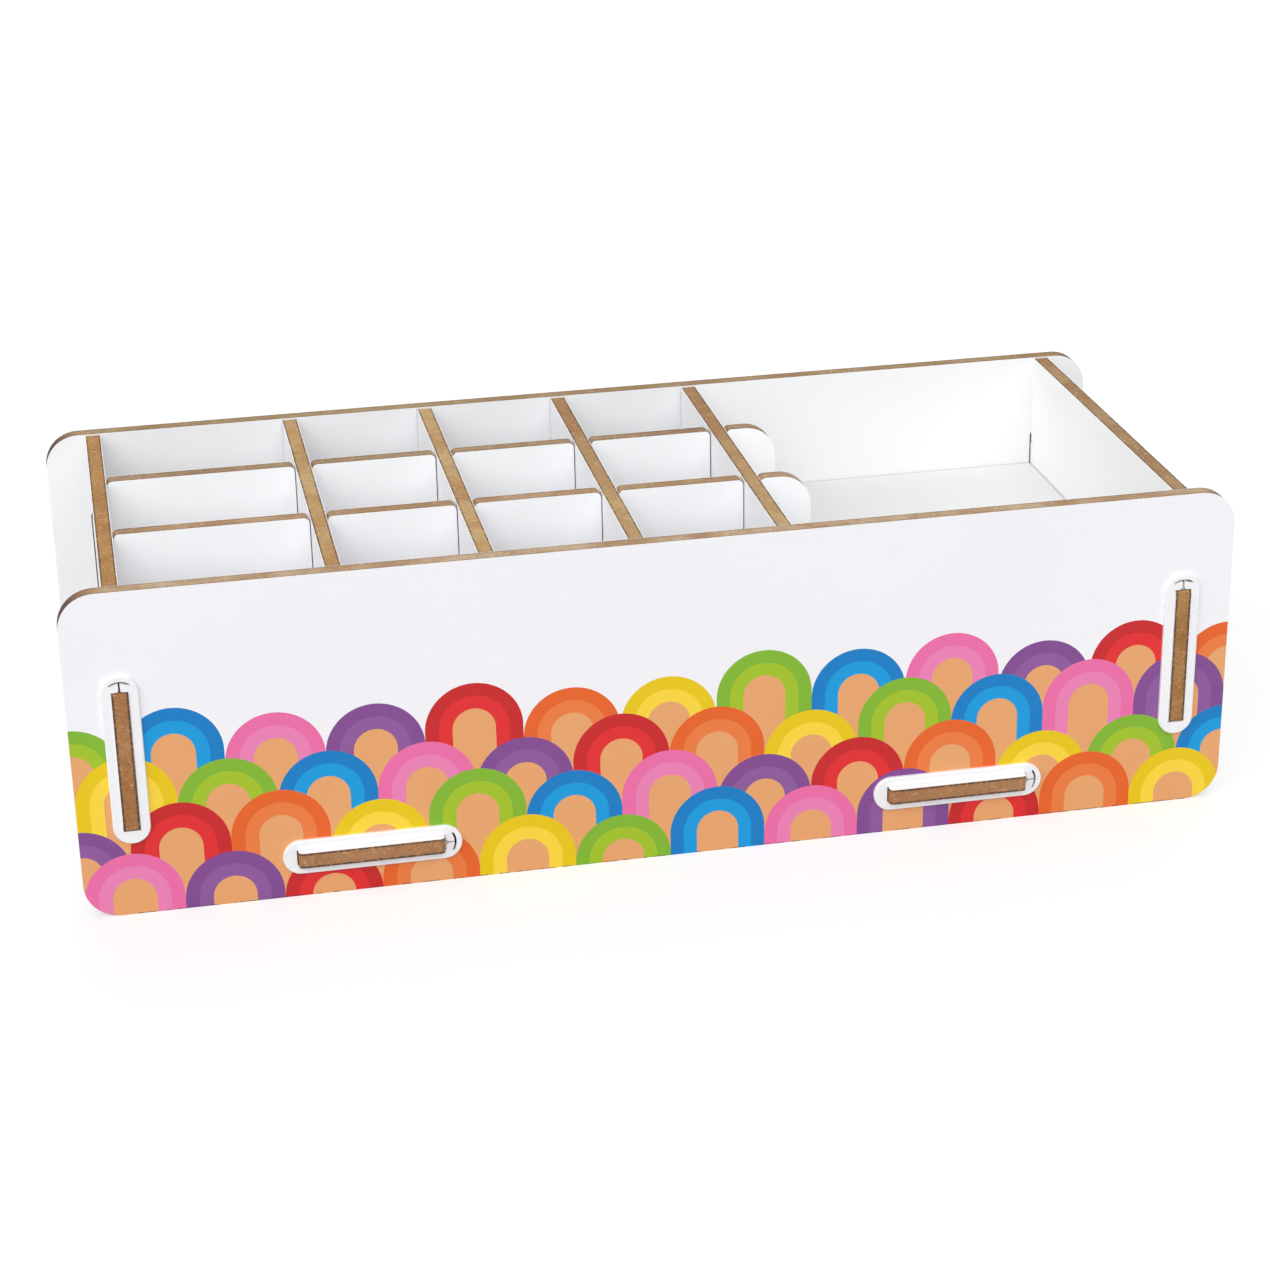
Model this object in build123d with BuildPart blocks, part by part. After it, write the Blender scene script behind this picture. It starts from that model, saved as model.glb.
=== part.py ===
"""Desk organiser made of white-faced boards held together by snap connectors.

A long front panel and a long back panel are joined by two end panels and a raised floor.
Tabs on the end panels and on the floor pass through slots in the long panels, and a plastic
connector in each slot snaps on to its tab. Four partitions drop over two lengthwise
dividers and make twelve cells. A loose shelf on the dividers' lower steps makes a shallow
tray at the right.

X runs to the right along the front, Y towards the back and Z up. The origin is on the
table, under the middle of the box. Lengths are in millimetres.
"""
import os

from build123d import *

# Overall size
box_length = 360.0
box_depth = 145.0
box_height = 105.0

# Boards
board = 5.0
panel_corner_radius = 11.0
end_overhang = 13.5
top_drop = 0.5
floor_underside = 11.0

# Clear widths of the cells from the left, and of the rows from the front
first_cell_width = 60.0
cell_width = 40.5
partition_count = 4
front_row_width = 42.0
middle_row_width = 42.0

# Divider ends that stand in the tray, and the shelf that lies round them
divider_reach = 16.7
divider_end_radius = 10.0
shelf_top = 66.0

# Rounded mouths of the slots that the partitions and dividers share
mouth_radius = 1.8

# Tabs of the end panels and of the floor
tab_length = 44.6
end_tab_reach = 1.6
floor_tab_reach = 3.7
end_tab_radius = 0.5
floor_tab_radius = 1.5

# Snap connectors, and how far those on the floor's tabs stand in from the end panels
end_clip_height = 51.6
floor_clip_inset = 71.4
slot_width = 6.0
slot_corner_radius = 1.0
key_depth = 3.8
flange_side_lip = 2.6
flange_end_lip = 1.6
flange_thickness = 1.2
flange_edge_radius = 0.45
plain_margin = 4.2
tongue_margin = 5.2
rim_width = 1.8
spring_slot_width = 0.65
spring_slot_radius = 5.4
spring_slot_half_angle = 31.0
slit_width = 0.5
tongue_tip_radius = 1.2
barb_depth = 1.2
barb_root = 1.4
snap_bite = 0.5

# Clearances
lift_gap = 0.3
divider_gap = 0.2
key_gap = 0.1
tab_side_gap = 0.1
tab_end_gap = 0.4
snap_gap = 0.15

# Faces and heights of the box
panel_outside = box_depth / 2
panel_inside = panel_outside - board
end_middle = box_length / 2 - end_overhang - board / 2
end_inside = end_middle - board / 2
inner_top = box_height - top_drop
floor_top = floor_underside + board
floor_middle = floor_underside + board / 2
half_lap = (floor_top + inner_top) / 2
shelf_underside = shelf_top - board

# Left faces of the partitions, front faces of the dividers, and the tray
partition_faces = [
    -end_inside + first_cell_width + index * (cell_width + board)
    for index in range(partition_count)
]
divider_faces = {
    "front_divider": -panel_inside + front_row_width,
    "rear_divider": -panel_inside + front_row_width + board + middle_row_width,
}
tray_left = partition_faces[-1] + board
divider_end = tray_left + divider_reach

# Outline of a connector
opening_length = tab_length + 2 * tab_end_gap
opening_width = board + 2 * tab_side_gap
flange_width = slot_width + 2 * flange_side_lip
flange_length = plain_margin + opening_length + tongue_margin
slot_length = flange_length - 2 * flange_end_lip

# Places along a connector, from its middle towards its tongues
opening_plain_end = -flange_length / 2 + plain_margin
opening_tongue_end = opening_plain_end + opening_length
spring_slot_end = flange_length / 2 - rim_width - spring_slot_width / 2
spring_slot_centre = spring_slot_end - spring_slot_radius
tab_plain_end = opening_plain_end + tab_end_gap
tab_snap_edge = opening_tongue_end - tab_end_gap
barb_tip = tab_snap_edge - snap_bite
barb_length = opening_tongue_end + barb_root - barb_tip
barb_width = (board - slit_width) / 2


def clip_seats(side):
    """Planes of the four connectors on a long panel; side is -1 in front and 1 at the back.

    A plane lies on the panel's outer face, at the middle of the connector. Its X axis
    points at the tongues and its Z axis points away from the box.
    """
    outwards = (0, side, 0)
    seats = {}
    for name, way in (("left", -1), ("right", 1)):
        seats[name + "_end"] = Plane(
            origin=(way * end_middle, side * panel_outside, end_clip_height),
            x_dir=(0, 0, 1),
            z_dir=outwards,
        )
        seats[name + "_floor"] = Plane(
            origin=(
                way * (end_middle - floor_clip_inset),
                side * panel_outside,
                floor_middle,
            ),
            x_dir=(-side, 0, 0),
            z_dir=outwards,
        )
    return seats


def long_panel(side, label):
    """Front or back panel: a board with round corners and a slot for each connector."""
    face = Plane(
        origin=(0, side * panel_outside, box_height / 2),
        x_dir=(1, 0, 0),
        z_dir=(0, side, 0),
    )
    with BuildPart() as panel:
        with BuildSketch(face):
            RectangleRounded(box_length, box_height, panel_corner_radius)
        extrude(amount=-board)
        for seat in clip_seats(side).values():
            with BuildSketch(seat):
                RectangleRounded(slot_length, slot_width, slot_corner_radius)
            extrude(amount=-board, mode=Mode.SUBTRACT)
    panel.part.label = label
    return panel.part


def add_tab(seat, reach, radius):
    """Add the tab that runs through the connector at seat to the board being built.

    The tab's snap edge faces the tongues. A notch in that edge takes their barbs. The
    reach is measured from the long panel's face, and the radius is that of the tab's two
    outer corners.
    """
    across = Plane(
        origin=seat.origin, x_dir=seat.x_dir, z_dir=seat.x_dir.cross(seat.z_dir)
    )
    with BuildSketch(across) as tab:
        with Locations((tab_plain_end, -board)):
            Rectangle(tab_length, board + reach, align=(Align.MIN, Align.MIN))
        fillet(tab.vertices().group_by(Axis.Y)[-1], radius)
        with Locations((tab_snap_edge, -barb_depth / 2)):
            Rectangle(
                2 * (snap_bite + snap_gap),
                barb_depth + 2 * snap_gap,
                mode=Mode.SUBTRACT,
            )
    extrude(tab.sketch, amount=board / 2, both=True)


def end_panel(name, way):
    """Left or right end panel, with one tab through each long panel."""
    with BuildPart() as panel:
        with BuildSketch(Plane.YZ.offset(way * end_middle)):
            with Locations((0, inner_top / 2)):
                Rectangle(2 * panel_inside, inner_top)
        extrude(amount=board / 2, both=True)
        for side in (-1, 1):
            add_tab(clip_seats(side)[name + "_end"], end_tab_reach, end_tab_radius)
    panel.part.label = name + "_end_panel"
    return panel.part


def floor_panel():
    """Raised floor between the end panels, with two tabs through each long panel."""
    with BuildPart() as panel:
        with BuildSketch(Plane.XY.offset(floor_underside)):
            Rectangle(2 * end_inside, 2 * panel_inside)
        extrude(amount=board)
        for side in (-1, 1):
            for name in ("left", "right"):
                add_tab(clip_seats(side)[name + "_floor"], floor_tab_reach, floor_tab_radius)
    panel.part.label = "floor_panel"
    return panel.part


def divider(label):
    """Lengthwise divider, slotted from above, with a low step that carries the shelf."""
    left = -end_inside + divider_gap
    right = end_inside - divider_gap
    face = Plane(origin=(0, divider_faces[label], 0), x_dir=(1, 0, 0), z_dir=(0, -1, 0))
    with BuildPart() as panel:
        with BuildSketch(face) as outline:
            with BuildLine():
                Polyline(
                    (left, floor_top),
                    (right, floor_top),
                    (right, shelf_underside),
                    (divider_end, shelf_underside),
                    (divider_end, inner_top),
                    (left, inner_top),
                    close=True,
                )
            make_face()
            for partition_face in partition_faces:
                with Locations((partition_face + board / 2, inner_top)):
                    Rectangle(
                        board + 2 * lift_gap,
                        2 * (inner_top - half_lap + lift_gap),
                        mode=Mode.SUBTRACT,
                    )
            top_corners = outline.vertices().group_by(Axis.Y)[-1].sort_by(Axis.X)
            fillet(top_corners[-1], divider_end_radius)
            top_corners = outline.vertices().group_by(Axis.Y)[-1].sort_by(Axis.X)
            fillet(top_corners[:-1], mouth_radius)
        extrude(amount=-board)
    panel.part.label = label
    return panel.part


def partition(index):
    """Crosswise partition, slotted from below, that stands on the floor."""
    with BuildPart() as panel:
        with BuildSketch(Plane.YZ.offset(partition_faces[index])) as outline:
            with Locations((0, (floor_top + inner_top) / 2)):
                Rectangle(2 * (panel_inside - lift_gap), inner_top - floor_top)
            for divider_face in divider_faces.values():
                with Locations((divider_face + board / 2, floor_top)):
                    Rectangle(
                        board + 2 * lift_gap,
                        2 * (half_lap - floor_top + lift_gap),
                        mode=Mode.SUBTRACT,
                    )
            fillet(outline.vertices().group_by(Axis.Y)[0], mouth_radius)
        extrude(amount=board)
    panel.part.label = f"partition_{index + 1}"
    return panel.part


def tray_shelf():
    """Loose shelf of the tray, notched round the ends of the dividers."""
    left = tray_left + lift_gap
    right = end_inside - lift_gap
    notch_end = divider_end + lift_gap
    with BuildPart() as shelf:
        with BuildSketch(Plane.XY.offset(shelf_underside)):
            with Locations(((left + right) / 2, 0)):
                Rectangle(right - left, 2 * (panel_inside - lift_gap))
            for divider_face in divider_faces.values():
                with Locations((left, divider_face + board / 2)):
                    Rectangle(
                        2 * (notch_end - left), board + 2 * lift_gap, mode=Mode.SUBTRACT
                    )
        extrude(amount=board)
    shelf.part.label = "tray_shelf"
    return shelf.part


def connector(seat, label):
    """Snap connector: a flange on the panel, a key in its slot and two sprung tongues.

    A barb behind each tongue reaches into the notch of the tab.
    """
    outwards = Axis((0, 0, 0), seat.z_dir)
    with BuildPart() as clip:
        with BuildSketch(seat):
            SlotOverall(flange_length, flange_width)
        extrude(amount=flange_thickness)
        fillet(clip.faces().sort_by(outwards)[-1].edges(), flange_edge_radius)
        with BuildSketch(seat):
            RectangleRounded(
                slot_length - 2 * key_gap,
                slot_width - 2 * key_gap,
                slot_corner_radius - key_gap,
            )
            with Locations((opening_plain_end, 0)):
                Rectangle(
                    slot_length,
                    slot_width,
                    align=(Align.MIN, Align.CENTER),
                    mode=Mode.SUBTRACT,
                )
        extrude(amount=-key_depth)
        with BuildSketch(seat) as tongue_cuts:
            with Locations((opening_plain_end, 0)):
                Rectangle(opening_length, opening_width, align=(Align.MIN, Align.CENTER))
            with Locations((opening_tongue_end, 0)):
                Rectangle(
                    spring_slot_end - opening_tongue_end,
                    slit_width,
                    align=(Align.MIN, Align.CENTER),
                )
            slit_mouth = tongue_cuts.vertices().sort_by_distance((opening_tongue_end, 0))
            fillet(slit_mouth[:2], tongue_tip_radius)
            with BuildLine() as spring_slot:
                CenterArc(
                    (spring_slot_centre, 0),
                    spring_slot_radius,
                    -spring_slot_half_angle,
                    2 * spring_slot_half_angle,
                )
            SlotArc(spring_slot.edge(), spring_slot_width)
        extrude(amount=flange_thickness, mode=Mode.SUBTRACT)
        with BuildSketch(seat):
            with Locations((barb_tip + barb_length / 2, 0)):
                with GridLocations(0, slit_width + barb_width, 1, 2):
                    Rectangle(barb_length, barb_width)
        extrude(amount=-barb_depth)
    clip.part.label = label
    return clip.part


pieces = [
    long_panel(-1, "front_panel"),
    long_panel(1, "back_panel"),
    end_panel("left", -1),
    end_panel("right", 1),
    floor_panel(),
    tray_shelf(),
]
pieces += [divider(label) for label in divider_faces]
pieces += [partition(index) for index in range(partition_count)]
for panel_name, panel_side in (("front", -1), ("back", 1)):
    for seat_name, seat_plane in clip_seats(panel_side).items():
        pieces.append(connector(seat_plane, f"{panel_name}_{seat_name}_connector"))

os.makedirs("parts", exist_ok=True)
for piece in pieces:
    export_step(piece, f"parts/{piece.label}.step")
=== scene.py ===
"""Desk organiser of white-faced boards and snap connectors: its finishes, its print and the studio.

X runs to the right along the front, Y towards the back and Z up, as in the frame. Meshes are in
metres. A name that ends in _mm holds millimetres, in which every pattern is worked out.
"""
import logging
import math
from dataclasses import dataclass
from enum import Enum

import bpy
import numpy as np
from mathutils import Matrix, Vector


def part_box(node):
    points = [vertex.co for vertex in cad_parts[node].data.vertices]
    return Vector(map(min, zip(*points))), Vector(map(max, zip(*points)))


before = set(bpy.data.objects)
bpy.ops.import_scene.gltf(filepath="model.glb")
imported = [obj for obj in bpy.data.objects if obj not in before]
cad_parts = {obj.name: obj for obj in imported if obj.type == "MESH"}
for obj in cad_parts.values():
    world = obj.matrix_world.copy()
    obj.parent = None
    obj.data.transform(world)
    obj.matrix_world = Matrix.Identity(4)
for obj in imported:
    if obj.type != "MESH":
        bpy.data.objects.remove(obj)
log = logging.getLogger("organiser")

MM = 0.001
X, Y, Z = 0, 1, 2
Socket = bpy.types.NodeSocket
Number = Socket | float
Colour = tuple[float, float, float]
Tone = Socket | Colour
FULL_WHITE: Colour = (1.0, 1.0, 1.0)

# Blender's noise lies mostly between these values.
NOISE_LOW, NOISE_HIGH = 0.3, 0.7

# A mix node has inputs for each kind of value. These are the share and the two that are mixed.
NUMBER_INPUTS, COLOUR_INPUTS = (0, 2, 3), (0, 6, 7)
NUMBER_OUTPUT, COLOUR_OUTPUT = 0, 2


def linear(red: float, green: float, blue: float) -> Colour:
    """Turn display values from 0 to 255 into the linear values that shaders take.

    It follows the sRGB curve: a straight line near black and a power above it.

    Args:
        red: Red as a display shows it.
        green: Green as a display shows it.
        blue: Blue as a display shows it.

    Returns:
        The three linear values, from 0 to 1.
    """
    shown = np.array((red, green, blue)) / 255.0
    near_black = shown / 12.92
    above = ((shown + 0.055) / 1.055) ** 2.4
    return tuple(float(value) for value in np.where(shown <= 0.04045, near_black, above))


class Mixing(Enum):
    """How two colours are mixed."""

    PLAIN = "MIX"
    MULTIPLIED = "MULTIPLY"


class Shading:
    """One material's node tree, with a short call for each kind of node that a finish uses.

    Attributes:
        material: The material.
        tree: Its node tree.
        shader: Its main shader.
        place_mm: A place on the piece, in millimetres.
    """

    def __init__(self, name: str) -> None:
        """Start a material whose patterns lie in the piece's own millimetres.

        Args:
            name: Name of the material.
        """
        self.material = bpy.data.materials.new(name)
        self.material.use_nodes = True
        self.tree = self.material.node_tree
        self.shader = self.tree.nodes["Principled BSDF"]
        place = self.add("ShaderNodeTexCoord").outputs["Object"]
        self.place_mm = self.scaled(place, (1 / MM, 1 / MM, 1 / MM))

    def add(self, kind: str, **settings: object) -> bpy.types.Node:
        """Add a node.

        Args:
            kind: The node's type.
            **settings: Properties of the node and their values.

        Returns:
            The new node.
        """
        node = self.tree.nodes.new(kind)
        for key, value in settings.items():
            setattr(node, key, value)
        return node

    def feed(self, target: Socket, value: Number | Tone) -> None:
        """Link a socket to an input, or write a plain value into it.

        Args:
            target: The input.
            value: A socket, a number, three factors or three linear values of a colour.
        """
        if isinstance(value, Socket):
            self.tree.links.new(value, target)
        elif target.type == "RGBA":
            target.default_value = (*value, 1.0)
        else:
            target.default_value = value

    def math(self, operation: str, *values: Number) -> Socket:
        """Work out one number.

        Args:
            operation: Name of the operation.
            *values: Sockets or numbers, in the operation's order.

        Returns:
            The result.
        """
        node = self.add("ShaderNodeMath", operation=operation)
        for target, value in zip(node.inputs, values):
            self.feed(target, value)
        return node.outputs[0]

    def scaled(self, place: Socket, factors: tuple[float, float, float]) -> Socket:
        """Stretch a place along the three axes.

        Args:
            place: The place.
            factors: What each coordinate is multiplied by.

        Returns:
            The stretched place.
        """
        node = self.add("ShaderNodeVectorMath", operation="MULTIPLY")
        self.feed(node.inputs[0], place)
        self.feed(node.inputs[1], factors)
        return node.outputs[0]

    def coordinate_mm(self, axis: int) -> Socket:
        """One coordinate of the place.

        Args:
            axis: Number of the axis.

        Returns:
            The coordinate in millimetres.
        """
        apart = self.add("ShaderNodeSeparateXYZ")
        self.feed(apart.inputs[0], self.place_mm)
        return apart.outputs[axis]

    def noise(self, size_mm: float, detail: float, place: Socket | None = None) -> Socket:
        """Soft noise from 0 to 1.

        Args:
            size_mm: Size of the largest blotches.
            detail: How many finer layers are added.
            place: Where it is read, if not at the piece's own place.

        Returns:
            The noise.
        """
        node = self.add("ShaderNodeTexNoise")
        self.feed(node.inputs["Vector"], place or self.place_mm)
        self.feed(node.inputs["Scale"], 1 / size_mm)
        self.feed(node.inputs["Detail"], detail)
        return node.outputs["Fac"]

    def remap(self, value: Socket, low: float, high: float, to_low: float, to_high: float) -> Socket:
        """Carry a number smoothly from one range to another, and hold it at the ends.

        Args:
            value: The number.
            low: Where the first range starts.
            high: Where it ends.
            to_low: The result at low.
            to_high: The result at high.

        Returns:
            The number in its new range.
        """
        node = self.add("ShaderNodeMapRange", interpolation_type="SMOOTHSTEP")
        for target, part in zip(node.inputs, (value, low, high, to_low, to_high)):
            self.feed(target, part)
        return node.outputs["Result"]

    def blend(self, share: Number, first: Number, second: Number) -> Socket:
        """Mix two numbers.

        Args:
            share: Share of the second one.
            first: The number at share 0.
            second: The number at share 1.

        Returns:
            The mixed number.
        """
        node = self.add("ShaderNodeMix", data_type="FLOAT")
        for index, part in zip(NUMBER_INPUTS, (share, first, second)):
            self.feed(node.inputs[index], part)
        return node.outputs[NUMBER_OUTPUT]

    def tint(
        self, share: Number, first: Tone, second: Tone, way: Mixing = Mixing.PLAIN
    ) -> Socket:
        """Mix two colours.

        Args:
            share: Share of the second one.
            first: The colour at share 0, a socket or three linear values.
            second: The colour at share 1. A number's socket counts as a grey.
            way: How they are mixed.

        Returns:
            The mixed colour.
        """
        node = self.add("ShaderNodeMix", data_type="RGBA", blend_type=way.value)
        for index, part in zip(COLOUR_INPUTS, (share, first, second)):
            self.feed(node.inputs[index], part)
        return node.outputs[COLOUR_OUTPUT]

    def pick(self, number: Socket, colours: tuple[Colour, ...]) -> Socket:
        """Choose a colour by its number, from a ramp with a step for each.

        Args:
            number: A whole number from 0.
            colours: The colours to choose from.

        Returns:
            The chosen colour.
        """
        node = self.add("ShaderNodeValToRGB")
        ramp, step = node.color_ramp, 1 / len(colours)
        ramp.interpolation = "CONSTANT"
        while len(ramp.elements) < len(colours):
            ramp.elements.new(1.0)
        for index, colour in enumerate(colours):
            ramp.elements[index].position = index * step
            ramp.elements[index].color = (*colour, 1.0)
        self.feed(node.inputs[0], self.math("MULTIPLY_ADD", number, step, step / 2))
        return node.outputs["Color"]

    def surface(self, colour: Tone, roughness: Number) -> None:
        """Give the shader its colour and its roughness.

        Args:
            colour: A socket or three linear values.
            roughness: A socket or a number.
        """
        self.feed(self.shader.inputs["Base Color"], colour)
        self.feed(self.shader.inputs["Roughness"], roughness)

    def relief(self, height_mm: Socket) -> None:
        """Give the shader a fine relief.

        Args:
            height_mm: Height of the surface, in millimetres.
        """
        bump = self.add("ShaderNodeBump")
        # One unit of height is a millimetre.
        self.feed(bump.inputs["Distance"], MM)
        self.feed(bump.inputs["Height"], height_mm)
        self.feed(self.shader.inputs["Normal"], bump.outputs["Normal"])


class BoardShading(Shading):
    """A board's material, in which each place knows how deep in the board it lies.

    Attributes:
        half_sizes_mm: Half the board's size along each axis.
        middle_mm: The board's middle.
        thin: Number of the axis across the board.
        half_mm: Half the board's thickness.
        offset_mm: A place's distance from the board's middle plane, negative on its low side.
        depth_mm: The same without its sign.
    """

    def __init__(self, node: str) -> None:
        """Start the material and measure the board.

        Args:
            node: Name of the board's node, and so of its material.
        """
        super().__init__(node)
        low, high = (np.array(corner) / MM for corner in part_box(node))
        self.half_sizes_mm = (high - low) / 2
        self.middle_mm = (high + low) / 2
        self.thin = int(np.argmin(self.half_sizes_mm))
        self.half_mm = float(self.half_sizes_mm[self.thin])
        self.offset_mm = self.from_middle(self.thin)
        self.depth_mm = self.math("ABSOLUTE", self.offset_mm)

    def from_middle(self, axis: int) -> Socket:
        """Millimetres from the board's middle along an axis, negative towards its low end."""
        return self.math("SUBTRACT", self.coordinate_mm(axis), float(self.middle_mm[axis]))


@dataclass(frozen=True)
class Patches:
    """Noise drawn apart into clouds, specks, fibres or dashes.

    Attributes:
        size_mm: Size of the largest patches.
        detail: How many finer layers are added.
        low: The noise up to which a place lies outside the patches.
        high: The noise from which it lies fully inside one.
        outside: The result outside.
        inside: The result inside.
    """

    size_mm: float
    detail: float
    low: float = NOISE_LOW
    high: float = NOISE_HIGH
    outside: float = 0.0
    inside: float = 1.0

    def on(self, shading: Shading) -> Socket:
        """The patches on a piece."""
        noise = shading.noise(self.size_mm, self.detail)
        return shading.remap(noise, self.low, self.high, self.outside, self.inside)


@dataclass(frozen=True)
class Facing:
    """White satin facing on both broad sides of a board, faintly clouded and a trace wavy.

    Attributes:
        colour: The white.
        shade: The white where it is a trace duller.
        cloud_mm: Size of the duller clouds.
        depth_mm: How thick it is.
        roughness: How matt it is.
        peel_mm: Size of its fine waviness.
        peel_height_mm: Height of that waviness.
    """

    colour: Colour
    shade: Colour
    cloud_mm: float = 60.0
    depth_mm: float = 0.15
    roughness: float = 0.36
    peel_mm: float = 1.6
    peel_height_mm: float = 0.002

    def colour_of(self, shading: Shading) -> Socket:
        """The white with its faint clouds."""
        return shading.tint(shading.noise(self.cloud_mm, detail=3.0), self.colour, self.shade)

    def height_of(self, shading: Shading) -> Socket:
        """The fine waviness, in millimetres."""
        return shading.math("MULTIPLY", shading.noise(self.peel_mm, detail=1.0), self.peel_height_mm)


@dataclass(frozen=True)
class CutEdge:
    """Bare fibreboard as a laser leaves it: two browns in clouds, fine stripes and scorched rims.

    Attributes:
        pale: The paler brown.
        warm: The warmer brown.
        scorch_and_shade: The colour of the burnt rims.
        rim: How strong the rims are, from 0 to 1.
        rim_mm: How wide a rim is, with its fading.
        dark_mm: How much of that is fully dark.
        bites: Where the scorch has bitten in, so that a rim is ragged.
        clouds: Where the brown is the warmer one.
        lean: How far the paler brown gathers towards the front of the box instead, from 0 to 1.
        lean_mm: How far from the middle of the box that ends.
        mottle: Lighter and darker patches, by which the brown is multiplied.
        speckle: Fine speckle, by which it is multiplied too.
        stripe_mm: Pitch of the stripes that the laser leaves.
        stripe_draw: What the place across the board is multiplied by, so that they run that way.
        stripe_contrast: How much lighter or darker a stripe is.
        stripe_height_mm: Height of the stripes.
        fleck: The colour of single dark fibres.
        flecks: Where these fibres lie.
        husk: The colour of single pale fibres.
        husks: Where the pale ones lie.
        roughness: How matt it is.
    """

    pale: Colour = linear(178, 139, 88)
    warm: Colour = linear(174, 127, 78)
    scorch_and_shade: Colour = linear(62, 40, 26)
    rim: float = 0.9
    rim_mm: float = 0.75
    dark_mm: float = 0.3
    bites: Patches = Patches(size_mm=1.0, detail=2.0, low=0.34, high=0.6, outside=0.2)
    clouds: Patches = Patches(size_mm=16.0, detail=3.0, low=0.32, high=0.68)
    lean: float = 0.0
    lean_mm: float = 55.0
    mottle: Patches = Patches(size_mm=3.4, detail=3.0, outside=0.93, inside=1.07)
    speckle: Patches = Patches(
        size_mm=0.6, detail=2.0, low=0.28, high=0.72, outside=0.86, inside=1.14
    )
    stripe_mm: float = 0.5
    stripe_draw: float = 0.12
    stripe_contrast: float = 0.03
    stripe_height_mm: float = 0.03
    fleck: Colour = linear(108, 76, 48)
    flecks: Patches = Patches(size_mm=0.9, detail=1.0, low=0.64, high=0.74, inside=0.55)
    husk: Colour = linear(214, 190, 154)
    husks: Patches = Patches(size_mm=1.3, detail=3.0, low=0.6, high=0.72, inside=0.5)
    roughness: float = 0.82

    def stripes_of(self, shading: BoardShading) -> Socket:
        """Fine noise drawn out across the board's thickness.

        Args:
            shading: The board's material.

        Returns:
            The stripes, from 0 to 1.
        """
        factors = [1.0, 1.0, 1.0]
        factors[shading.thin] = self.stripe_draw
        place = shading.scaled(shading.place_mm, tuple(factors))
        return shading.noise(self.stripe_mm, detail=2.0, place=place)

    def colour_of(self, shading: BoardShading, core_mm: float, stripes: Socket) -> Socket:
        """The brown with clouds, stripes, fibres and scorched rims.

        Args:
            shading: The board's material.
            core_mm: Depth from the board's middle plane at which the facing starts.
            stripes: The laser's stripes, from 0 to 1.

        Returns:
            The colour.
        """
        clouds = self.clouds.on(shading)
        if self.lean:
            backwards = shading.remap(shading.coordinate_mm(Y), -self.lean_mm, self.lean_mm, 0.0, 1.0)
            clouds = shading.blend(self.lean, clouds, backwards)
        brown = shading.tint(clouds, self.pale, self.warm)
        light, dark = 1 + self.stripe_contrast, 1 - self.stripe_contrast
        striped = shading.remap(stripes, NOISE_LOW, NOISE_HIGH, dark, light)
        level = shading.math("MULTIPLY", self.mottle.on(shading), striped)
        level = shading.math("MULTIPLY", level, self.speckle.on(shading))
        brown = shading.tint(1.0, brown, level, Mixing.MULTIPLIED)
        brown = shading.tint(self.flecks.on(shading), brown, self.fleck)
        brown = shading.tint(self.husks.on(shading), brown, self.husk)
        start_mm, full_mm = core_mm - self.rim_mm, core_mm - self.dark_mm
        rims = shading.remap(shading.depth_mm, start_mm, full_mm, 0.0, self.rim)
        burn_and_shade = shading.math("MULTIPLY", rims, self.bites.on(shading))
        return shading.tint(burn_and_shade, brown, self.scorch_and_shade)

    def height_of(self, shading: Shading, stripes: Socket) -> Socket:
        """The stripes' height in millimetres."""
        return shading.math("MULTIPLY", stripes, self.stripe_height_mm)


class White(Enum):
    """The facings of the boards, whose whites differ a little in tint and in painted light and shade.
    """

    # The inner and end boards' whites are set lighter as painted light, the back panel's and the
    # shelf's darker as painted shade.
    PRINTED = Facing(linear(243, 242, 246), linear(239, 238, 242))
    BACK = Facing(linear(236, 236, 238), linear(232, 232, 234))
    END = Facing(linear(248, 249, 249), linear(244, 245, 245))
    INNER = Facing(linear(246, 246, 248), linear(243, 243, 245))
    SHELF = Facing(linear(227, 228, 227), linear(223, 225, 223))


class Cut(Enum):
    """The cut edges of the boards, which came out of the laser in several browns."""

    FRONT = CutEdge(linear(182, 156, 125), linear(154, 118, 79), rim=0.75)
    BACK = CutEdge(linear(152, 127, 89), linear(137, 106, 66), rim=0.75)
    LEFT_END = CutEdge(linear(166, 122, 65), linear(150, 101, 45), rim=0.95)
    RIGHT_END = CutEdge(linear(155, 123, 81), linear(139, 102, 57), rim=0.95)
    LIGHT_PARTITION = CutEdge(linear(180, 147, 100), linear(163, 121, 68), rim=0.95)
    DARK_PARTITION = CutEdge(linear(178, 146, 99), linear(141, 99, 52), rim=0.95, lean=0.65)
    FRONT_DIVIDER = CutEdge(linear(169, 138, 101), linear(150, 113, 75))
    REAR_DIVIDER = CutEdge(linear(153, 125, 90), linear(133, 102, 66))
    INNER = CutEdge()


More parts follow.
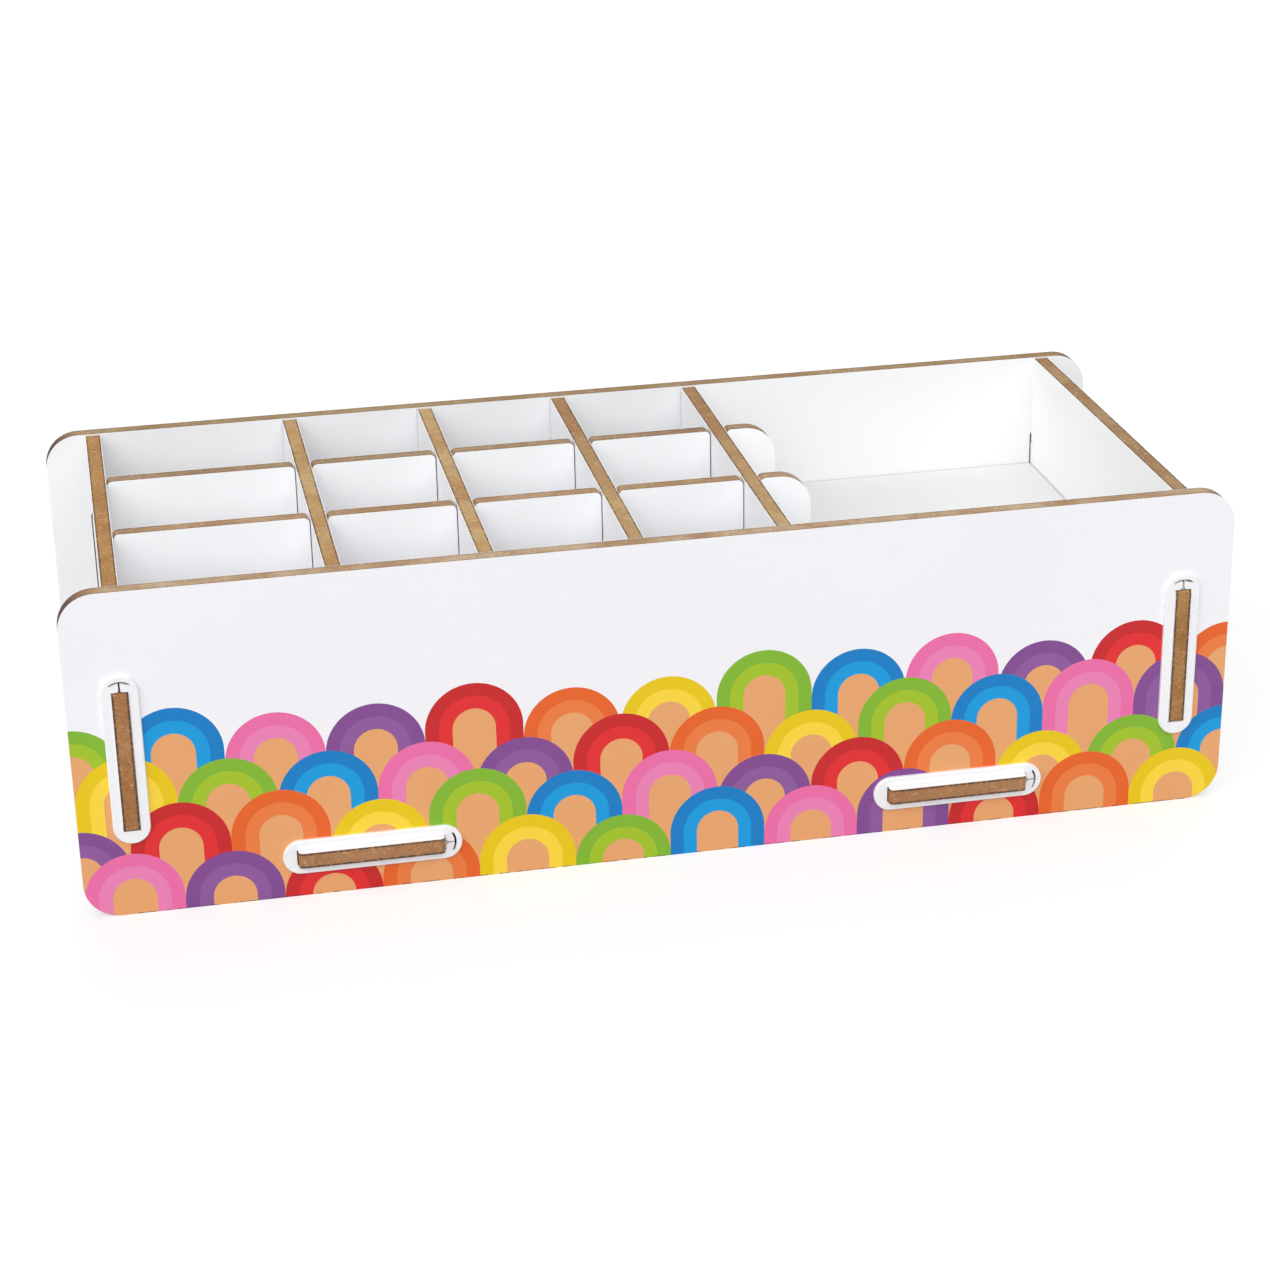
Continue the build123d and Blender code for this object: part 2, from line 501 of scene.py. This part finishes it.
@dataclass(frozen=True)
class ArchPrint:
    """Printed rows of overlapping plain arches along the foot of the front panel.

    An arch is round above its springing line and straight below it. It is an outer band of the
    deeper tone, an inner band of the lighter one and a tan core. A row stands half an arch aside
    from the next, and the lower rows stand in front.

    Attributes:
        width_mm: Width of an arch.
        springing_mm: Height of each row's springing line, from the rearmost row to the front one.
        rise_mm: The most that chance lifts an arch.
        arch_seed: Step of the chance from an arch to the next.
        row_seed: Step of the chance from a row to the next.
        arch_step: By how many tones an arch is ahead of the last one.
        row_step: By how many tones a row is ahead of the last one.
        outer_mm: Width of the outer band.
        inner_mm: Width of the inner band.
        deep: The deeper tones.
        light: The lighter tones, in the same order.
        core: Colour of the cores.
        roughness: How matt the ink is.
    """

    width_mm: float = 30.0
    springing_mm: tuple[float, ...] = (43.0, 29.0, 14.0, -1.0)
    rise_mm: float = 9.0
    arch_seed: float = 0.731
    row_seed: float = 3.17
    arch_step: float = 2.0
    row_step: float = 3.0
    outer_mm: float = 4.2
    inner_mm: float = 4.2
    deep: tuple[Colour, ...] = (
        linear(230, 196, 0),
        linear(128, 72, 143),
        linear(128, 180, 44),
        linear(198, 32, 35),
        linear(0, 123, 194),
        linear(228, 98, 31),
        linear(232, 108, 165),
    )
    light: tuple[Colour, ...] = (
        linear(246, 211, 58),
        linear(139, 87, 153),
        linear(160, 191, 34),
        linear(223, 40, 43),
        linear(0, 152, 218),
        linear(232, 122, 61),
        linear(231, 127, 178),
    )
    core: Colour = linear(229, 163, 107)
    roughness: float = 0.3

    def nearest_arch(self, shading: Shading, row: int) -> tuple[Socket, Socket]:
        """Find the arch of a row that is nearest to a place.

        The distance is the square root of the sum of two squares: of how far the place lies aside
        from the arch's middle line, and of how far it lies above its springing line, which counts
        as 0 below that line.

        Args:
            shading: The material that the print goes into.
            row: Number of the row, from the rearmost.

        Returns:
            The distance in millimetres, and the number of the arch's tone.
        """
        half_step = 0.5 * (row % 2)
        turn = shading.math("MULTIPLY_ADD", shading.coordinate_mm(X), 1 / self.width_mm, half_step)
        number = shading.math("ROUND", turn)
        aside = shading.math("MULTIPLY", shading.math("SUBTRACT", turn, number), self.width_mm)
        chance = shading.add("ShaderNodeTexWhiteNoise", noise_dimensions="1D")
        seed = shading.math("MULTIPLY_ADD", number, self.arch_seed, self.row_seed * (row + 1))
        shading.feed(chance.inputs["W"], seed)
        lift = chance.outputs["Value"]
        line = shading.math("MULTIPLY_ADD", lift, self.rise_mm, self.springing_mm[row])
        above = shading.math("SUBTRACT", shading.coordinate_mm(Z), line)
        above = shading.math("MAXIMUM", above, 0.0)
        squares = shading.math("MULTIPLY_ADD", above, above, shading.math("MULTIPLY", aside, aside))
        tone = shading.math("MULTIPLY_ADD", number, self.arch_step, self.row_step * row)
        tone = shading.math("FLOORED_MODULO", tone, float(len(self.deep)))
        return shading.math("SQRT", squares), tone

    def layer_on(self, shading: Shading, under: Socket) -> tuple[Socket, Socket]:
        """Lay the print over a colour, one row in front of the last.

        Args:
            shading: The material that it goes into.
            under: The colour that shows where there is no ink.

        Returns:
            The colour, and 1 where there is ink.
        """
        radius_mm = self.width_mm / 2
        tone, reach, ink = 0.0, self.width_mm, 0.0
        for row in range(len(self.springing_mm)):
            distance, row_tone = self.nearest_arch(shading, row)
            inside = shading.math("LESS_THAN", distance, radius_mm)
            tone = shading.blend(inside, tone, row_tone)
            reach = shading.blend(inside, reach, distance)
            ink = shading.math("MAXIMUM", ink, inside)
        in_outer = shading.math("GREATER_THAN", reach, radius_mm - self.outer_mm)
        in_core = shading.math("LESS_THAN", reach, radius_mm - self.outer_mm - self.inner_mm)
        light, deep = shading.pick(tone, self.light), shading.pick(tone, self.deep)
        colour = shading.tint(in_outer, light, deep)
        colour = shading.tint(in_core, colour, self.core)
        return shading.tint(ink, under, colour), ink


@dataclass(frozen=True)
class DarkFootLine:
    """A dark line along the foot of a panel's face, broken into dashes.

    Attributes:
        height_mm: How high it reaches.
        burn_and_shade: Its colour.
        dashes: Where it shows, and how strongly.
    """

    height_mm: float = 0.3
    burn_and_shade: Colour = linear(78, 60, 58)
    dashes: Patches = Patches(size_mm=3.0, detail=2.0, low=0.44, high=0.56, inside=0.75)

    def darken(self, shading: Shading, white: Socket) -> Socket:
        """Darken the face along the foot.

        Args:
            shading: The panel's material.
            white: The face's colour.

        Returns:
            The colour with the line.
        """
        low_down = shading.math("LESS_THAN", shading.coordinate_mm(Z), self.height_mm)
        share = shading.math("MULTIPLY", low_down, self.dashes.on(shading))
        return shading.tint(share, white, self.burn_and_shade)


@dataclass(frozen=True)
class PaintedCornerShade:
    """Painted shade on the cut edges round a long panel's corners, and less on its upright edges.

    Attributes:
        start_mm: Where they start to darken, from the panel's middle.
        run_mm: Over what distance they darken.
        burn_and_shade: What they darken to.
        share: How far they get there.
        upright_share: What is left of that on the upright edges between the corners.
        low: Share of the panel's half height at which an upright edge starts to count as a corner.
        high: Share of it from which the edge fully counts as one.
    """

    start_mm: float = 168.0
    run_mm: float = 10.0
    burn_and_shade: Colour = linear(68, 40, 30)
    share: float = 0.92
    upright_share: float = 0.3
    low: float = 0.55
    high: float = 0.85

    def darken(self, shading: BoardShading, brown: Socket) -> Socket:
        """Paint shade into the brown in the corners.

        Args:
            shading: The panel's material.
            brown: The cut edges' colour.

        Returns:
            The darkened colour.
        """
        # Painted shade: the edges darken where they turn away from the light.
        aside = shading.math("ABSOLUTE", shading.coordinate_mm(X))
        ended = shading.remap(aside, self.start_mm, self.start_mm + self.run_mm, 0.0, self.share)
        half_mm = float(shading.half_sizes_mm[Z])
        away = shading.math("ABSOLUTE", shading.from_middle(Z))
        low_mm, high_mm = half_mm * self.low, half_mm * self.high
        cornered = shading.remap(away, low_mm, high_mm, self.upright_share, 1.0)
        return shading.tint(shading.math("MULTIPLY", ended, cornered), brown, self.burn_and_shade)


@dataclass(frozen=True)
class TabEnds:
    """The ends of a board's tabs outside the long panels, with a dark band along the facing's edge.

    Attributes:
        tone: What the brown is multiplied by there.
        burn_and_shade: Colour of that band: scorch, and painted shade of the gap round the tab.
        band_mm: How wide that band is.
        fade_mm: How wide the fading on its inner side is.
        skin_mm: How near a broad side's face a place has to lie to stay white.
        outside_mm: Where the tabs come out of the panels, from the middle of the box.
    """

    tone: Colour
    burn_and_shade: Colour = linear(78, 60, 58)
    band_mm: float = 0.35
    fade_mm: float = 0.2
    skin_mm: float = 0.01
    outside_mm: float = 72.5

    def tone_burn_and_shade(
        self, shading: BoardShading, brown: Socket, in_core: Socket, bites: Patches
    ) -> tuple[Socket, Socket]:
        """Tone the tab ends and darken their band: scorch, and painted shade of the gap round the
        tab.

        Args:
            shading: The board's material.
            brown: The cut edges' colour.
            in_core: 1 where the board shows that colour.
            bites: Where the scorch has bitten in.

        Returns:
            The two again, with the band along the facing's edge now darkened outside the panels.
        """
        across = shading.math("ABSOLUTE", shading.coordinate_mm(Y))
        out = shading.math("GREATER_THAN", across, self.outside_mm)
        toned = shading.tint(1.0, brown, self.tone, Mixing.MULTIPLIED)
        brown = shading.tint(out, brown, toned)
        # A dark band along the facing's edge: scorch, and painted shade of the gap round the tab.
        full_mm = shading.half_mm - self.band_mm
        band = shading.remap(shading.depth_mm, full_mm - self.fade_mm, full_mm, 0.0, 1.0)
        band = shading.math("MULTIPLY", band, bites.on(shading))
        brown = shading.tint(shading.math("MULTIPLY", out, band), brown, self.burn_and_shade)
        on_edge = shading.math("LESS_THAN", shading.depth_mm, shading.half_mm - self.skin_mm)
        return brown, shading.math("MAXIMUM", in_core, shading.math("MULTIPLY", out, on_edge))


@dataclass(frozen=True)
class BoardFinish:
    """White facing outside and a laser-cut fibre core, told apart by the depth in the board.

    Attributes:
        facing: The facing.
        cut: The cut edges.
        ink: The print on the front, or None.
        foot: The dark line along the foot, or None.
        corners: The painted shade round the corners, or None.
        tab_ends: The ends of its tabs, or None.
    """

    facing: White = White.INNER
    cut: Cut = Cut.INNER
    ink: ArchPrint | None = None
    foot: DarkFootLine | None = None
    corners: PaintedCornerShade | None = None
    tab_ends: TabEnds | None = None

    def face_of(self, shading: BoardShading, core_mm: float) -> tuple[Socket, Number]:
        """The broad sides, with the print and the dark line along the foot where the board has them.

        Args:
            shading: The board's material.
            core_mm: Depth from the board's middle plane at which the facing starts.

        Returns:
            The colour and the roughness.
        """
        facing = self.facing.value
        colour, matt = facing.colour_of(shading), facing.roughness
        if self.ink:
            printed, ink = self.ink.layer_on(shading, colour)
            in_front = shading.math("LESS_THAN", shading.offset_mm, -core_mm)
            colour = shading.tint(in_front, colour, printed)
            matt = shading.blend(shading.math("MULTIPLY", ink, in_front), matt, self.ink.roughness)
        if self.foot:
            colour = self.foot.darken(shading, colour)
        return colour, matt

    def dress(self, node: str) -> None:
        """Make the board's material and put it on the board.

        Args:
            node: Name of the board's node.
        """
        facing, cut = self.facing.value, self.cut.value
        shading = BoardShading(node)
        core_mm = shading.half_mm - facing.depth_mm
        in_core = shading.math("LESS_THAN", shading.depth_mm, core_mm)
        stripes = cut.stripes_of(shading)
        white, matt = self.face_of(shading, core_mm)
        brown = cut.colour_of(shading, core_mm, stripes)
        if self.corners:
            brown = self.corners.darken(shading, brown)
        if self.tab_ends:
            brown, in_core = self.tab_ends.tone_burn_and_shade(shading, brown, in_core, cut.bites)
        colour = shading.tint(in_core, white, brown)
        shading.surface(colour, shading.blend(in_core, matt, cut.roughness))
        heights = facing.height_of(shading), cut.height_of(shading, stripes)
        shading.relief(shading.blend(in_core, *heights))
        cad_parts[node].material_slots[0].material = shading.material


@dataclass(frozen=True)
class Moulding:
    """White satin plastic, lightly grained by its mould.

    Attributes:
        colour: The white.
        shade: The white where it is a trace duller.
        flow_mm: Size of the duller clouds.
        roughness: How matt it is from place to place.
        grain_mm: Size of the grain.
        grain_height_mm: Height of the grain.
    """

    colour: Colour = linear(241, 241, 243)
    shade: Colour = linear(238, 238, 241)
    flow_mm: float = 9.0
    roughness: Patches = Patches(size_mm=2.5, detail=2.0, outside=0.25, inside=0.36)
    grain_mm: float = 0.25
    grain_height_mm: float = 0.0012

    def material(self) -> bpy.types.Material:
        """Make the plastic's material.

        Returns:
            The material.
        """
        shading = Shading("connector_plastic")
        flow = shading.noise(self.flow_mm, detail=2.0)
        shading.surface(shading.tint(flow, self.colour, self.shade), self.roughness.on(shading))
        grain = shading.noise(self.grain_mm, detail=1.0)
        shading.relief(shading.math("MULTIPLY", grain, self.grain_height_mm))
        return shading.material


@dataclass(frozen=True)
class Boards:
    """Every board of the organiser, with the facing and the cut edges of its kind.

    Attributes:
        left_tab_tone: What the brown is multiplied by at the left end panel's tab ends.
        right_tab_tone: The same for the right end panel.
        floor_tab_tone: The same for the floor panel.
    """

    left_tab_tone: Colour = (1.05, 1.0, 1.4)
    right_tab_tone: Colour = (1.23, 1.08, 0.93)
    floor_tab_tone: Colour = (0.86, 0.76, 0.84)

    def finishes(self) -> dict[str, BoardFinish]:
        """List the boards.

        Returns:
            The finish of each board by its node's name.
        """
        # The long panels' darker corners are painted shade.
        scorch_and_shade = PaintedCornerShade()
        left, right = TabEnds(self.left_tab_tone), TabEnds(self.right_tab_tone)
        return {
            "front_panel": BoardFinish(White.PRINTED, Cut.FRONT, ArchPrint(), DarkFootLine(), scorch_and_shade),
            "back_panel": BoardFinish(White.BACK, Cut.BACK, corners=scorch_and_shade),
            "left_end_panel": BoardFinish(White.END, Cut.LEFT_END, tab_ends=left),
            "right_end_panel": BoardFinish(White.END, Cut.RIGHT_END, tab_ends=right),
            "partition_1": BoardFinish(cut=Cut.LIGHT_PARTITION),
            "partition_2": BoardFinish(cut=Cut.LIGHT_PARTITION),
            "partition_3": BoardFinish(cut=Cut.DARK_PARTITION),
            "partition_4": BoardFinish(cut=Cut.DARK_PARTITION),
            "front_divider": BoardFinish(cut=Cut.FRONT_DIVIDER),
            "rear_divider": BoardFinish(cut=Cut.REAR_DIVIDER),
            "floor_panel": BoardFinish(tab_ends=TabEnds(self.floor_tab_tone)),
            "tray_shelf": BoardFinish(White.SHELF),
        }

    def dress(self) -> None:
        """Give each board its own material."""
        for node, finish in self.finishes().items():
            finish.dress(node)
            facing, cut = finish.facing.name.lower(), finish.cut.name.lower()
            log.info("%s: %s facing, %s edges", node, facing, cut)


@dataclass(frozen=True)
class Connectors:
    """The snap connectors in the slots of the two long panels.

    Attributes:
        finish: Their plastic.
    """

    finish: Moulding = Moulding()

    def dress(self) -> None:
        """Put the plastic on every connector."""
        material = self.finish.material()
        for name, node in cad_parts.items():
            if name.endswith("_connector"):
                node.material_slots[0].material = material
                log.info("%s: plastic", name)


@dataclass(frozen=True)
class Lamp:
    """A wide soft lamp so far away that it is equally strong everywhere.

    Attributes:
        name: Name of the lamp.
        aside_deg: How far it stands to the right of straight ahead of the front panel.
        height_deg: How high it stands.
        width_deg: How wide it looks from the organiser.
        level: How bright it alone makes a white card that faces it.
    """

    name: str
    aside_deg: float
    height_deg: float
    width_deg: float
    level: float

    def hang(self) -> None:
        """Hang the lamp. A strength of pi makes a white card that faces it fully white."""
        data = bpy.data.lights.new(self.name, "SUN")
        data.energy = math.pi * self.level
        data.angle = math.radians(self.width_deg)
        body = bpy.data.objects.new(self.name, data)
        aside, height = math.radians(self.aside_deg), math.radians(self.height_deg)
        level = math.cos(height)
        towards = Vector((math.sin(aside) * level, -math.cos(aside) * level, math.sin(height)))
        body.rotation_euler = (-towards).to_track_quat("-Z", "Y").to_euler()
        bpy.context.scene.collection.objects.link(body)


@dataclass(frozen=True)
class PhotoCamera:
    """A camera at the photograph's viewing angle.

    Attributes:
        place: Where it stands.
        aim: A point in the middle of its view.
        roll_deg: How far it leans about its line of sight.
        picture_px: Side of the photograph.
        focal_px: Focal length in the photograph's pixels.
        sensor_mm: Width of the sensor.
        nearest: How near it sees.
        farthest: How far it sees.
    """

    place: tuple[float, float, float] = (-0.16848, -0.87849, 0.43193)
    aim: tuple[float, float, float] = (0.00416, 0.0, 0.0438)
    roll_deg: float = -1.04
    picture_px: float = 1270.0
    focal_px: float = 2972.7
    sensor_mm: float = 36.0
    nearest: float = 0.01
    farthest: float = 100.0

    def stand(self) -> None:
        """Stand the camera and make it the scene's."""
        data = bpy.data.cameras.new("photograph")
        data.sensor_width = self.sensor_mm
        data.lens = self.sensor_mm * self.focal_px / self.picture_px
        data.clip_start, data.clip_end = self.nearest, self.farthest
        camera = bpy.data.objects.new("photograph", data)
        bpy.context.scene.collection.objects.link(camera)
        place = Vector(self.place)
        turn = (Vector(self.aim) - place).to_track_quat("-Z", "Y").to_matrix()
        roll = Matrix.Rotation(math.radians(self.roll_deg), 3, "Z")
        camera.matrix_world = Matrix.LocRotScale(place, (turn @ roll).to_quaternion(), None)
        bpy.context.scene.camera = camera


@dataclass(frozen=True)
class Studio:
    """White floor and world, soft lamps, and the camera where the photographer stood.

    Attributes:
        floor_side: Side of the square floor.
        floor_colour: Its white.
        floor_roughness: How matt it is.
        floor_gloss: How strongly it reflects.
        floor_glow: Light that only the camera sees on it, so that the open floor is white.
        sky: Strength of the light from all round.
        lamps: The lamps from the front, from the left and from behind.
        camera: The camera.
    """

    floor_side: float = 14.0
    floor_colour: Colour = linear(184, 184, 184)
    floor_roughness: float = 0.9
    floor_gloss: float = 0.1
    floor_glow: float = 0.52
    sky: float = 0.41
    lamps: tuple[Lamp, ...] = (
        Lamp("key", aside_deg=-3.0, height_deg=36.0, width_deg=50.0, level=0.52),
        Lamp("fill", aside_deg=-62.0, height_deg=34.0, width_deg=50.0, level=0.36),
        Lamp("back", aside_deg=162.0, height_deg=40.0, width_deg=60.0, level=0.30),
    )
    camera: PhotoCamera = PhotoCamera()

    def build(self) -> None:
        """Set up the floor, the light and the camera."""
        self.lay_floor()
        self.light_world()
        for lamp in self.lamps:
            lamp.hang()
        self.camera.stand()
        bpy.context.scene.view_settings.view_transform = "Standard"
        log.info("studio: floor, %d lamps and camera", len(self.lamps))

    def lay_floor(self) -> None:
        """Lay a white floor that keeps the organiser's shadow."""
        half = self.floor_side / 2
        corners = [(-half, -half, 0.0), (half, -half, 0.0), (half, half, 0.0), (-half, half, 0.0)]
        mesh = bpy.data.meshes.new("studio_floor")
        mesh.from_pydata(corners, [], [(0, 1, 2, 3)])
        floor = bpy.data.objects.new("studio_floor", mesh)
        bpy.context.scene.collection.objects.link(floor)
        shading = Shading("studio_floor")
        shading.surface(self.floor_colour, self.floor_roughness)
        shading.feed(shading.shader.inputs["Specular IOR Level"], self.floor_gloss)
        seen = shading.add("ShaderNodeLightPath").outputs["Is Camera Ray"]
        glow = shading.math("MULTIPLY", seen, self.floor_glow)
        shading.feed(shading.shader.inputs["Emission Color"], FULL_WHITE)
        shading.feed(shading.shader.inputs["Emission Strength"], glow)
        mesh.materials.append(shading.material)

    def light_world(self) -> None:
        """Light the scene from all round, and show full white behind it and in reflections."""
        world = bpy.data.worlds.new("studio")
        world.use_nodes = True
        bpy.context.scene.world = world
        nodes, links = world.node_tree.nodes, world.node_tree.links
        path = nodes.new("ShaderNodeLightPath")
        shown = path.outputs["Is Camera Ray"]
        for kind in ("Is Glossy Ray", "Is Transmission Ray"):
            either = nodes.new("ShaderNodeMath")
            either.operation = "MAXIMUM"
            links.new(shown, either.inputs[0])
            links.new(path.outputs[kind], either.inputs[1])
            shown = either.outputs[0]
        level = nodes.new("ShaderNodeMapRange")
        links.new(shown, level.inputs["Value"])
        level.inputs["To Min"].default_value = self.sky
        level.inputs["To Max"].default_value = 1.0
        links.new(level.outputs["Result"], nodes["Background"].inputs["Strength"])
        nodes["Background"].inputs["Color"].default_value = (*FULL_WHITE, 1.0)


def main() -> None:
    """Build the scene round the frame."""
    logging.basicConfig(level=logging.INFO, format="%(name)s: %(message)s")
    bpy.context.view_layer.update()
    Boards().dress()
    Connectors().dress()
    Studio().build()


if __name__ == "__main__":
    main()
